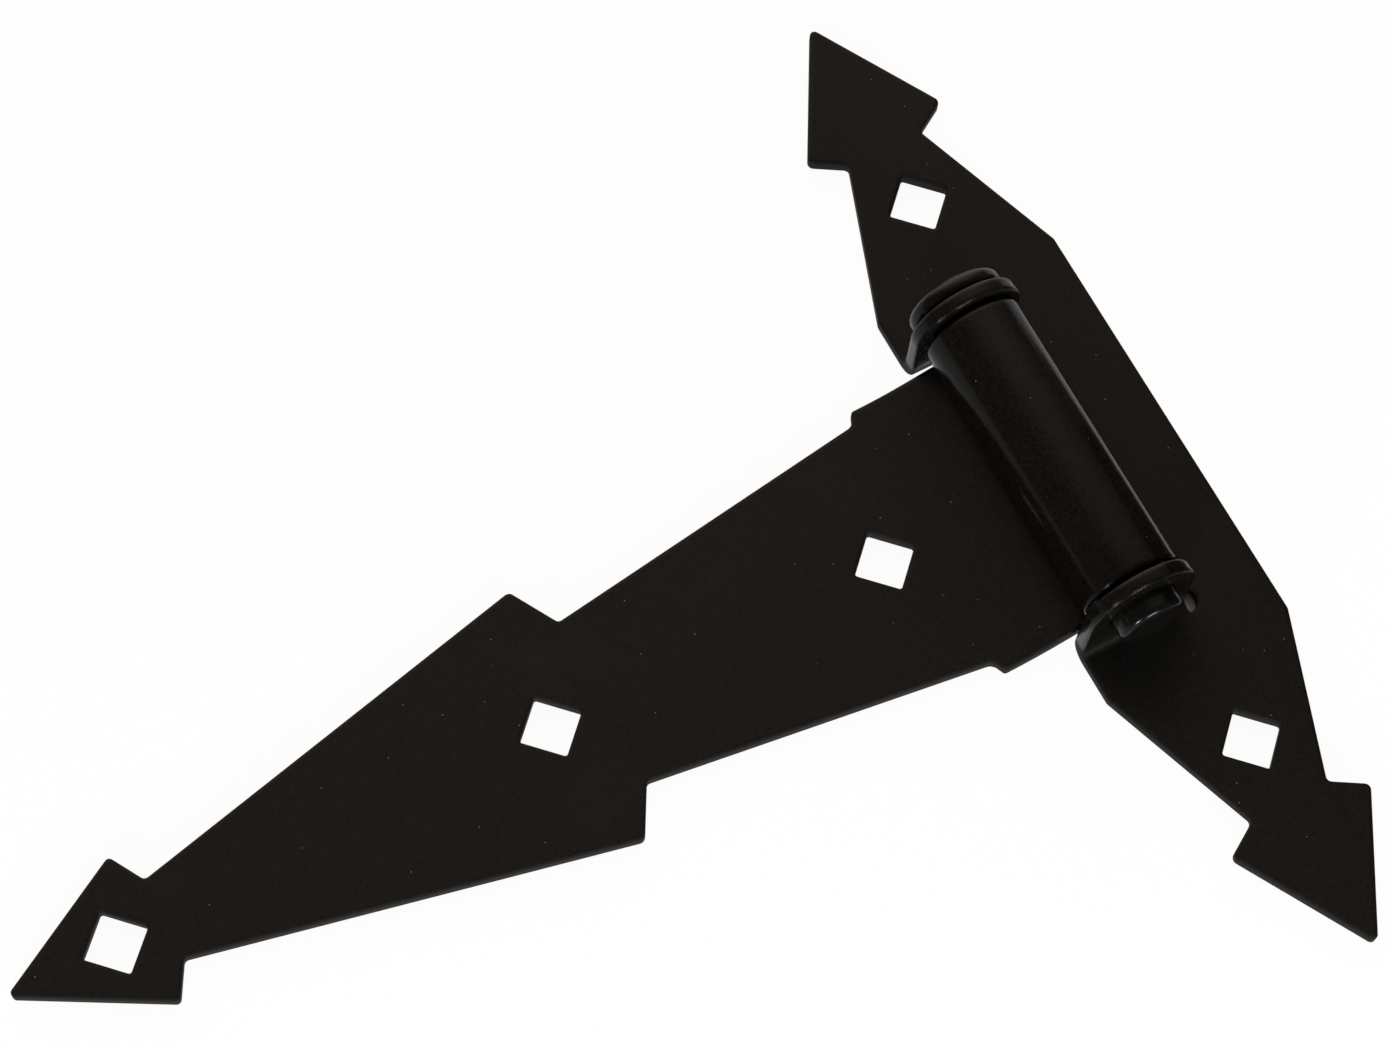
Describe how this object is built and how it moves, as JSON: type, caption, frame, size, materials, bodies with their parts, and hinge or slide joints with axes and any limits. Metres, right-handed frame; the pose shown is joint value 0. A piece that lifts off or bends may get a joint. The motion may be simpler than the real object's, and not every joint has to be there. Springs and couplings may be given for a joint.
{
  "type": "tee hinge",
  "caption": "Heavy tee hinge: long barbed arrow strap with a rolled barrel, folded-eared cross plate and headed pin, with square carriage-bolt holes.",
  "frame": {"origin": "on the back plane of both leaves, straight under the middle of the pin (mount hinge_line)", "axes": "+X from the strap's tip towards the cross plate, +Y along the pin towards its head, +Z out of the face of the leaves, away from the gate"},
  "size_m": [0.229, 0.1998, 0.0252],
  "materials": {
    "black_coat": "satin black powder coat, faintly brown, on steel sheet",
    "pin_coat": "satin black coat, a little glossier, on a steel pin"
  },
  "bodies": {
    "plate": {"cross_plate": "black_coat", "hinge_pin": "pin_coat"},
    "strap": {"strap_leaf": "black_coat"}
  },
  "joints": [
    {"name": "strap_swing", "type": "hinge", "parent": "plate", "child": "strap", "pos_m": [0, 0, 0.0145], "axis": [0, 1, 0], "range_deg": [-80, 215]}
  ]
}
